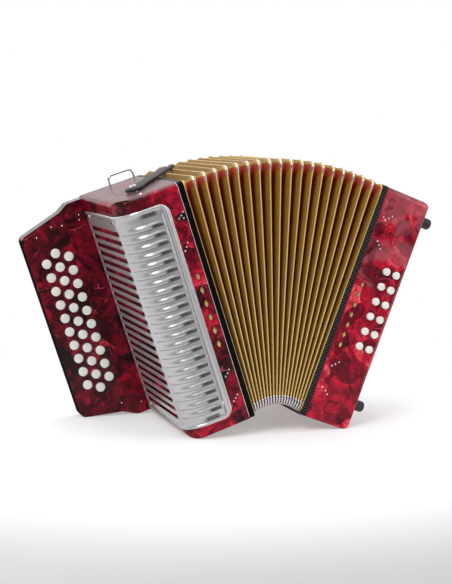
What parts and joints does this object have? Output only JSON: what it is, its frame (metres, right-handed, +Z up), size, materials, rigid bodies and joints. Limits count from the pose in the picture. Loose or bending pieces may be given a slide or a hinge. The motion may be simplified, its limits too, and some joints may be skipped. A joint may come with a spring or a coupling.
{
  "type": "button accordion",
  "caption": "Diatonic button accordion standing fanned open: two glossy casings joined by folding bellows, with a wrapped grille, a stepped fingerboard and round push buttons.",
  "frame": {"origin": "centre of the footprint, on the surface that the two outer bottom edges stand on", "axes": "+X from the treble half to the bass half, +Y from the button front to the back, +Z up"},
  "size_m": [0.5027, 0.194, 0.3432],
  "materials": {
    "pearloid_red": "glossy marbled celluloid",
    "grille_metal": "satin",
    "frame_black": "gloss lacquer",
    "reed_wood": "bare spruce",
    "screw_metal": "polished",
    "strap_leather": "smooth black",
    "bellows_cloth": "gold cloth tape over card",
    "button_white": "glossy",
    "foot_rubber": "matte"
  },
  "bodies": {
    "treble": {"treble_casing": "pearloid_red", "treble_grille": "grille_metal", "fingerboard": "pearloid_red", "treble_frame": "frame_black", "treble_reed_block": "reed_wood", "treble_screws": "screw_metal", "strap_loops": "screw_metal", "bellows": "bellows_cloth", "bellows_corners": "screw_metal"},
    "bass": {"bass_frame": "frame_black", "bass_casing": "pearloid_red", "bass_end_plate": "pearloid_red", "bass_reed_block": "reed_wood", "hand_strap": "strap_leather", "feet": "foot_rubber"},
    "bellows_strap": {"bellows_strap": "strap_leather"},
    "air_button": {"air_button": "button_white"},
    "treble_button_outer_1": {"treble_button_outer_1": "button_white"},
    "treble_button_outer_2": {"treble_button_outer_2": "button_white"},
    "treble_button_outer_3": {"treble_button_outer_3": "button_white"},
    "treble_button_outer_4": {"treble_button_outer_4": "button_white"},
    "treble_button_outer_5": {"treble_button_outer_5": "button_white"},
    "treble_button_outer_6": {"treble_button_outer_6": "button_white"},
    "treble_button_outer_7": {"treble_button_outer_7": "button_white"},
    "treble_button_outer_8": {"treble_button_outer_8": "button_white"},
    "treble_button_outer_9": {"treble_button_outer_9": "button_white"},
    "treble_button_outer_10": {"treble_button_outer_10": "button_white"},
    "treble_button_middle_1": {"treble_button_middle_1": "button_white"},
    "treble_button_middle_2": {"treble_button_middle_2": "button_white"},
    "treble_button_middle_3": {"treble_button_middle_3": "button_white"},
    "treble_button_middle_4": {"treble_button_middle_4": "button_white"},
    "treble_button_middle_5": {"treble_button_middle_5": "button_white"},
    "treble_button_middle_6": {"treble_button_middle_6": "button_white"},
    "treble_button_middle_7": {"treble_button_middle_7": "button_white"},
    "treble_button_middle_8": {"treble_button_middle_8": "button_white"},
    "treble_button_middle_9": {"treble_button_middle_9": "button_white"},
    "treble_button_middle_10": {"treble_button_middle_10": "button_white"},
    "treble_button_middle_11": {"treble_button_middle_11": "button_white"},
    "treble_button_inner_1": {"treble_button_inner_1": "button_white"},
    "treble_button_inner_2": {"treble_button_inner_2": "button_white"},
    "treble_button_inner_3": {"treble_button_inner_3": "button_white"},
    "treble_button_inner_4": {"treble_button_inner_4": "button_white"},
    "treble_button_inner_5": {"treble_button_inner_5": "button_white"},
    "treble_button_inner_6": {"treble_button_inner_6": "button_white"},
    "treble_button_inner_7": {"treble_button_inner_7": "button_white"},
    "treble_button_inner_8": {"treble_button_inner_8": "button_white"},
    "treble_button_inner_9": {"treble_button_inner_9": "button_white"},
    "treble_button_inner_10": {"treble_button_inner_10": "button_white"},
    "bass_button_inner_1": {"bass_button_inner_1": "button_white"},
    "bass_button_inner_2": {"bass_button_inner_2": "button_white"},
    "bass_button_inner_3": {"bass_button_inner_3": "button_white"},
    "bass_button_inner_4": {"bass_button_inner_4": "button_white"},
    "bass_button_inner_5": {"bass_button_inner_5": "button_white"},
    "bass_button_inner_6": {"bass_button_inner_6": "button_white"},
    "bass_button_outer_1": {"bass_button_outer_1": "button_white"},
    "bass_button_outer_2": {"bass_button_outer_2": "button_white"},
    "bass_button_outer_3": {"bass_button_outer_3": "button_white"},
    "bass_button_outer_4": {"bass_button_outer_4": "button_white"},
    "bass_button_outer_5": {"bass_button_outer_5": "button_white"},
    "bass_button_outer_6": {"bass_button_outer_6": "button_white"}
  },
  "joints": [
    {"name": "bellows_fan", "type": "hinge", "parent": "treble", "child": "bass", "pos_m": [0.03598, 0, 0.0372], "axis": [0, 1, 0], "range_deg": [-39.3, 14], "deforming": ["bellows", "bellows_corners"]},
    {"name": "strap_swivel", "type": "hinge", "parent": "treble", "child": "bellows_strap", "pos_m": [-0.13591, -0.042, 0.30385], "axis": [-0.3123, 0, 0.95], "range_deg": [-49, 20]},
    {"name": "treble_button_outer_1_press", "type": "slide", "parent": "treble", "child": "treble_button_outer_1", "axis": [0, 1, 0], "range_m": [0, 0.003], "stiffness_N_per_m": 150, "springref_m": -0.001},
    {"name": "treble_button_outer_2_press", "type": "slide", "parent": "treble", "child": "treble_button_outer_2", "axis": [0, 1, 0], "range_m": [0, 0.003], "stiffness_N_per_m": 150, "springref_m": -0.001},
    {"name": "treble_button_outer_3_press", "type": "slide", "parent": "treble", "child": "treble_button_outer_3", "axis": [0, 1, 0], "range_m": [0, 0.003], "stiffness_N_per_m": 150, "springref_m": -0.001},
    {"name": "treble_button_outer_4_press", "type": "slide", "parent": "treble", "child": "treble_button_outer_4", "axis": [0, 1, 0], "range_m": [0, 0.003], "stiffness_N_per_m": 150, "springref_m": -0.001},
    {"name": "treble_button_outer_5_press", "type": "slide", "parent": "treble", "child": "treble_button_outer_5", "axis": [0, 1, 0], "range_m": [0, 0.003], "stiffness_N_per_m": 150, "springref_m": -0.001},
    {"name": "treble_button_outer_6_press", "type": "slide", "parent": "treble", "child": "treble_button_outer_6", "axis": [0, 1, 0], "range_m": [0, 0.003], "stiffness_N_per_m": 150, "springref_m": -0.001},
    {"name": "treble_button_outer_7_press", "type": "slide", "parent": "treble", "child": "treble_button_outer_7", "axis": [0, 1, 0], "range_m": [0, 0.003], "stiffness_N_per_m": 150, "springref_m": -0.001},
    {"name": "treble_button_outer_8_press", "type": "slide", "parent": "treble", "child": "treble_button_outer_8", "axis": [0, 1, 0], "range_m": [0, 0.003], "stiffness_N_per_m": 150, "springref_m": -0.001},
    {"name": "treble_button_outer_9_press", "type": "slide", "parent": "treble", "child": "treble_button_outer_9", "axis": [0, 1, 0], "range_m": [0, 0.003], "stiffness_N_per_m": 150, "springref_m": -0.001},
    {"name": "treble_button_outer_10_press", "type": "slide", "parent": "treble", "child": "treble_button_outer_10", "axis": [0, 1, 0], "range_m": [0, 0.003], "stiffness_N_per_m": 150, "springref_m": -0.001},
    {"name": "treble_button_middle_1_press", "type": "slide", "parent": "treble", "child": "treble_button_middle_1", "axis": [0, 1, 0], "range_m": [0, 0.003], "stiffness_N_per_m": 150, "springref_m": -0.001},
    {"name": "treble_button_middle_2_press", "type": "slide", "parent": "treble", "child": "treble_button_middle_2", "axis": [0, 1, 0], "range_m": [0, 0.003], "stiffness_N_per_m": 150, "springref_m": -0.001},
    {"name": "treble_button_middle_3_press", "type": "slide", "parent": "treble", "child": "treble_button_middle_3", "axis": [0, 1, 0], "range_m": [0, 0.003], "stiffness_N_per_m": 150, "springref_m": -0.001},
    {"name": "treble_button_middle_4_press", "type": "slide", "parent": "treble", "child": "treble_button_middle_4", "axis": [0, 1, 0], "range_m": [0, 0.003], "stiffness_N_per_m": 150, "springref_m": -0.001},
    {"name": "treble_button_middle_5_press", "type": "slide", "parent": "treble", "child": "treble_button_middle_5", "axis": [0, 1, 0], "range_m": [0, 0.003], "stiffness_N_per_m": 150, "springref_m": -0.001},
    {"name": "treble_button_middle_6_press", "type": "slide", "parent": "treble", "child": "treble_button_middle_6", "axis": [0, 1, 0], "range_m": [0, 0.003], "stiffness_N_per_m": 150, "springref_m": -0.001},
    {"name": "treble_button_middle_7_press", "type": "slide", "parent": "treble", "child": "treble_button_middle_7", "axis": [0, 1, 0], "range_m": [0, 0.003], "stiffness_N_per_m": 150, "springref_m": -0.001},
    {"name": "treble_button_middle_8_press", "type": "slide", "parent": "treble", "child": "treble_button_middle_8", "axis": [0, 1, 0], "range_m": [0, 0.003], "stiffness_N_per_m": 150, "springref_m": -0.001},
    {"name": "treble_button_middle_9_press", "type": "slide", "parent": "treble", "child": "treble_button_middle_9", "axis": [0, 1, 0], "range_m": [0, 0.003], "stiffness_N_per_m": 150, "springref_m": -0.001},
    {"name": "treble_button_middle_10_press", "type": "slide", "parent": "treble", "child": "treble_button_middle_10", "axis": [0, 1, 0], "range_m": [0, 0.003], "stiffness_N_per_m": 150, "springref_m": -0.001},
    {"name": "treble_button_middle_11_press", "type": "slide", "parent": "treble", "child": "treble_button_middle_11", "axis": [0, 1, 0], "range_m": [0, 0.003], "stiffness_N_per_m": 150, "springref_m": -0.001},
    {"name": "treble_button_inner_1_press", "type": "slide", "parent": "treble", "child": "treble_button_inner_1", "axis": [0, 1, 0], "range_m": [0, 0.003], "stiffness_N_per_m": 150, "springref_m": -0.001},
    {"name": "treble_button_inner_2_press", "type": "slide", "parent": "treble", "child": "treble_button_inner_2", "axis": [0, 1, 0], "range_m": [0, 0.003], "stiffness_N_per_m": 150, "springref_m": -0.001},
    {"name": "treble_button_inner_3_press", "type": "slide", "parent": "treble", "child": "treble_button_inner_3", "axis": [0, 1, 0], "range_m": [0, 0.003], "stiffness_N_per_m": 150, "springref_m": -0.001},
    {"name": "treble_button_inner_4_press", "type": "slide", "parent": "treble", "child": "treble_button_inner_4", "axis": [0, 1, 0], "range_m": [0, 0.003], "stiffness_N_per_m": 150, "springref_m": -0.001},
    {"name": "treble_button_inner_5_press", "type": "slide", "parent": "treble", "child": "treble_button_inner_5", "axis": [0, 1, 0], "range_m": [0, 0.003], "stiffness_N_per_m": 150, "springref_m": -0.001},
    {"name": "treble_button_inner_6_press", "type": "slide", "parent": "treble", "child": "treble_button_inner_6", "axis": [0, 1, 0], "range_m": [0, 0.003], "stiffness_N_per_m": 150, "springref_m": -0.001},
    {"name": "treble_button_inner_7_press", "type": "slide", "parent": "treble", "child": "treble_button_inner_7", "axis": [0, 1, 0], "range_m": [0, 0.003], "stiffness_N_per_m": 150, "springref_m": -0.001},
    {"name": "treble_button_inner_8_press", "type": "slide", "parent": "treble", "child": "treble_button_inner_8", "axis": [0, 1, 0], "range_m": [0, 0.003], "stiffness_N_per_m": 150, "springref_m": -0.001},
    {"name": "treble_button_inner_9_press", "type": "slide", "parent": "treble", "child": "treble_button_inner_9", "axis": [0, 1, 0], "range_m": [0, 0.003], "stiffness_N_per_m": 150, "springref_m": -0.001},
    {"name": "treble_button_inner_10_press", "type": "slide", "parent": "treble", "child": "treble_button_inner_10", "axis": [0, 1, 0], "range_m": [0, 0.003], "stiffness_N_per_m": 150, "springref_m": -0.001},
    {"name": "bass_button_inner_1_press", "type": "slide", "parent": "bass", "child": "bass_button_inner_1", "axis": [0, 1, 0], "range_m": [0, 0.0028], "stiffness_N_per_m": 150, "springref_m": -0.001},
    {"name": "bass_button_inner_2_press", "type": "slide", "parent": "bass", "child": "bass_button_inner_2", "axis": [0, 1, 0], "range_m": [0, 0.0028], "stiffness_N_per_m": 150, "springref_m": -0.001},
    {"name": "bass_button_inner_3_press", "type": "slide", "parent": "bass", "child": "bass_button_inner_3", "axis": [0, 1, 0], "range_m": [0, 0.0028], "stiffness_N_per_m": 150, "springref_m": -0.001},
    {"name": "bass_button_inner_4_press", "type": "slide", "parent": "bass", "child": "bass_button_inner_4", "axis": [0, 1, 0], "range_m": [0, 0.0028], "stiffness_N_per_m": 150, "springref_m": -0.001},
    {"name": "bass_button_inner_5_press", "type": "slide", "parent": "bass", "child": "bass_button_inner_5", "axis": [0, 1, 0], "range_m": [0, 0.0028], "stiffness_N_per_m": 150, "springref_m": -0.001},
    {"name": "bass_button_inner_6_press", "type": "slide", "parent": "bass", "child": "bass_button_inner_6", "axis": [0, 1, 0], "range_m": [0, 0.0028], "stiffness_N_per_m": 150, "springref_m": -0.001},
    {"name": "bass_button_outer_1_press", "type": "slide", "parent": "bass", "child": "bass_button_outer_1", "axis": [0, 1, 0], "range_m": [0, 0.0028], "stiffness_N_per_m": 150, "springref_m": -0.001},
    {"name": "bass_button_outer_2_press", "type": "slide", "parent": "bass", "child": "bass_button_outer_2", "axis": [0, 1, 0], "range_m": [0, 0.0028], "stiffness_N_per_m": 150, "springref_m": -0.001},
    {"name": "bass_button_outer_3_press", "type": "slide", "parent": "bass", "child": "bass_button_outer_3", "axis": [0, 1, 0], "range_m": [0, 0.0028], "stiffness_N_per_m": 150, "springref_m": -0.001},
    {"name": "bass_button_outer_4_press", "type": "slide", "parent": "bass", "child": "bass_button_outer_4", "axis": [0, 1, 0], "range_m": [0, 0.0028], "stiffness_N_per_m": 150, "springref_m": -0.001},
    {"name": "bass_button_outer_5_press", "type": "slide", "parent": "bass", "child": "bass_button_outer_5", "axis": [0, 1, 0], "range_m": [0, 0.0028], "stiffness_N_per_m": 150, "springref_m": -0.001},
    {"name": "bass_button_outer_6_press", "type": "slide", "parent": "bass", "child": "bass_button_outer_6", "axis": [0, 1, 0], "range_m": [0, 0.0028], "stiffness_N_per_m": 150, "springref_m": -0.001},
    {"name": "air_button_press", "type": "slide", "parent": "bass", "child": "air_button", "axis": [-0.933, 0, 0.36], "range_m": [0, 0.004], "stiffness_N_per_m": 200, "springref_m": -0.001}
  ]
}
